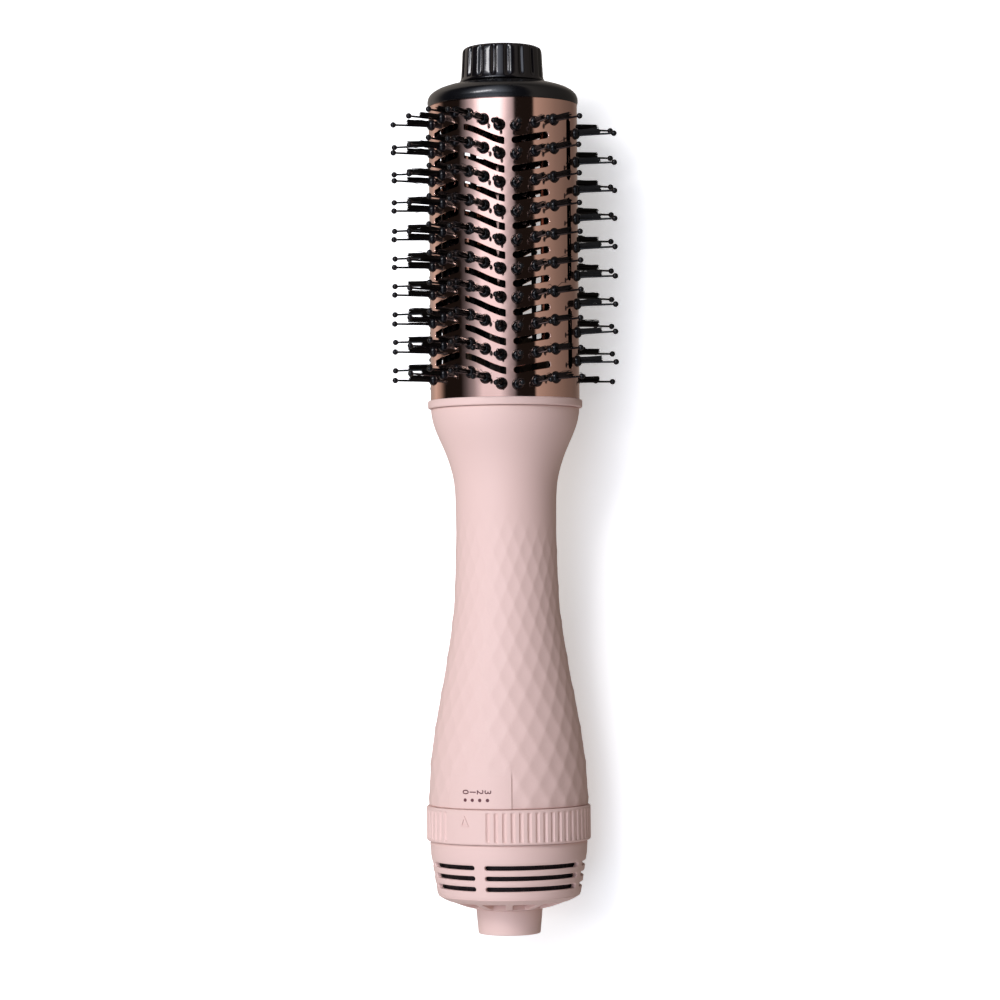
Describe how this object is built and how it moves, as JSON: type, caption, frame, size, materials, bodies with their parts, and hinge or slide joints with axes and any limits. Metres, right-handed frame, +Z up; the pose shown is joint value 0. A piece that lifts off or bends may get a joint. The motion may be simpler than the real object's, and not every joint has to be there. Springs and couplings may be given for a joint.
{
  "type": "hot air brush",
  "caption": "Hand-held hot air styling brush: oval metal barrel with black tufted pins, pale pink waisted handle, rotary speed dial, slotted air inlet and swivelling cord outlet.",
  "frame": {"origin": "middle of the bounding box at its lowest level, on the surface that the brush lies on", "axes": "+X runs along the brush from the cord gland to the tip, +Z is up, and the handle front with the dial marks faces up. The tool axis rises about 3.3 degrees towards the tip, because the pins hold it up."},
  "size_m": [0.3592, 0.0954, 0.0937],
  "materials": {
    "soft_pink": "soft-touch pale pink moulding, fine even grain",
    "rose_metal": "polished rose-gold anodised sheet",
    "gloss_black": "glossy black nylon",
    "satin_black": "satin black heat-proof nylon",
    "dark_nylon": "dark glass-filled nylon",
    "steel": "bright zinc-plated steel",
    "copper": "copper windings and bronze bushes",
    "mica": "pressed mica sheet",
    "board_green": "printed circuit board laminate",
    "rubber_black": "soft black rubber",
    "filter_mesh": "fine woven dust screen",
    "lead_red": "red lead insulation",
    "lead_blue": "blue lead insulation"
  },
  "bodies": {
    "housing": {"tail_cover": "soft_pink", "inlet_housing": "soft_pink", "inlet_filter": "filter_mesh", "switch_body": "dark_nylon", "circuit_board": "board_green", "rectifier": "dark_nylon", "capacitor": "steel", "handle_front": "soft_pink", "handle_back": "soft_pink", "handle_screw_lower": "steel", "handle_screw_upper": "steel", "fan_shroud": "dark_nylon", "motor_can": "steel", "motor_end_cap": "dark_nylon", "lower_bearing": "copper", "upper_bearing": "copper", "motor_mount": "dark_nylon", "damper_ring": "rubber_black", "live_lead": "lead_red", "neutral_lead": "lead_blue", "collar_ring": "soft_pink", "barrel_seat": "satin_black", "barrel": "rose_metal", "bristle_strip_front_left": "gloss_black", "bristle_strip_front_middle": "gloss_black", "bristle_strip_front_right": "gloss_black", "bristle_strip_back_left": "gloss_black", "bristle_strip_back_middle": "gloss_black", "bristle_strip_back_right": "gloss_black", "bristle_strip_right_edge": "gloss_black", "bristle_strip_left_edge": "gloss_black", "heater_board_flat": "mica", "heater_board_upright": "mica", "heater_coil": "steel", "heater_sleeve": "mica", "thermostat": "steel", "thermal_fuse": "copper", "end_cap": "satin_black", "tip_knob": "gloss_black", "tip_screw": "steel"},
    "dial": {"dial_ring": "soft_pink"},
    "switch_slide": {"switch_slider": "satin_black"},
    "rotor": {"motor_shaft": "steel", "rotor_core": "copper", "fan_impeller": "dark_nylon"},
    "cord_swivel": {"cord_gland": "soft_pink", "swivel_clip": "steel"}
  },
  "joints": [
    {"name": "dial_turn", "type": "hinge", "parent": "housing", "child": "dial", "pos_m": [-0.13439, 0, 0.03344], "axis": [0.9983, 0, 0.0584], "range_deg": [0, 17.1]},
    {"name": "switch_travel", "type": "slide", "parent": "housing", "child": "switch_slide", "axis": [0, 1, 0], "range_m": [0, 0.0075]},
    {"name": "fan_spin", "type": "hinge", "parent": "housing", "child": "rotor", "pos_m": [-0.11153, 0, 0.03477], "axis": [0.9983, 0, 0.0584], "continuous": true},
    {"name": "gland_swivel", "type": "hinge", "parent": "housing", "child": "cord_swivel", "pos_m": [-0.17891, 0, 0.03083], "axis": [0.9983, 0, 0.0584], "continuous": true}
  ],
  "couplings": [
    {"joint": "switch_travel", "follows": "dial_turn", "m_per_rad": 0.0245}
  ]
}
